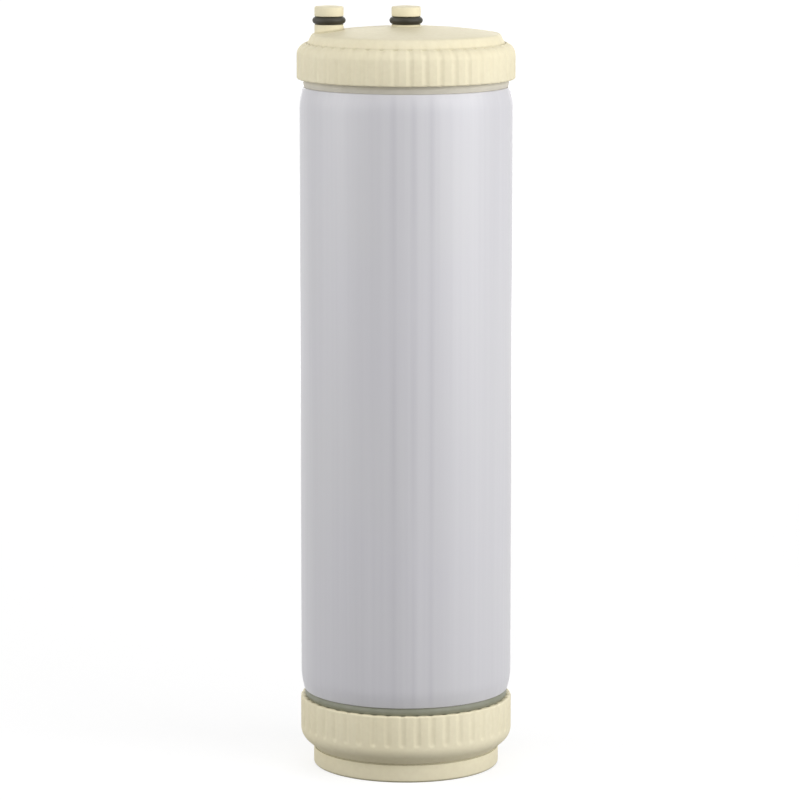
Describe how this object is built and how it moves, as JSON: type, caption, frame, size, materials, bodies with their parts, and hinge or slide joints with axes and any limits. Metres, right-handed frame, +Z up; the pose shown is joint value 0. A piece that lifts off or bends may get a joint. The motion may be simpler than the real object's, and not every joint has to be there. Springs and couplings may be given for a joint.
{
  "type": "water softener cartridge",
  "caption": "Upright plastic softening cartridge: straight tube of resin, fluted cap and gasket at each end, round foot, and O-ringed spigots on the crown for water in and out.",
  "frame": {"origin": "centre of the foot's bottom face, on the cartridge's axis", "axes": "+Z up the axis from the foot to the spigots, -X towards the inlet spigot, and the picture was taken from -Y"},
  "size_m": [0.072, 0.072, 0.254],
  "materials": {
    "tube_plastic": "satin",
    "cap_plastic": "satin",
    "gasket_rubber": "matte",
    "ring_rubber": "matte",
    "inner_plastic": "satin",
    "screen_mesh": "matte",
    "felt": "matte",
    "foam": "matte",
    "resin": "satin"
  },
  "bodies": {
    "root": {"body_tube": "tube_plastic", "top_cap": "cap_plastic", "bottom_cap": "cap_plastic", "bottom_gasket": "gasket_rubber", "top_gasket": "gasket_rubber", "bottom_cap_o_ring": "ring_rubber", "top_cap_o_ring": "ring_rubber", "outlet_o_ring": "ring_rubber", "inlet_o_ring": "ring_rubber", "riser_o_ring": "ring_rubber", "riser_tube": "inner_plastic", "lower_strainer": "inner_plastic", "inlet_diffuser": "inner_plastic", "lower_screen": "screen_mesh", "upper_screen": "screen_mesh", "lower_felt_pad": "felt", "upper_felt_pad": "felt", "expansion_pad": "foam", "resin_bed": "resin"}
  },
  "joints": []
}
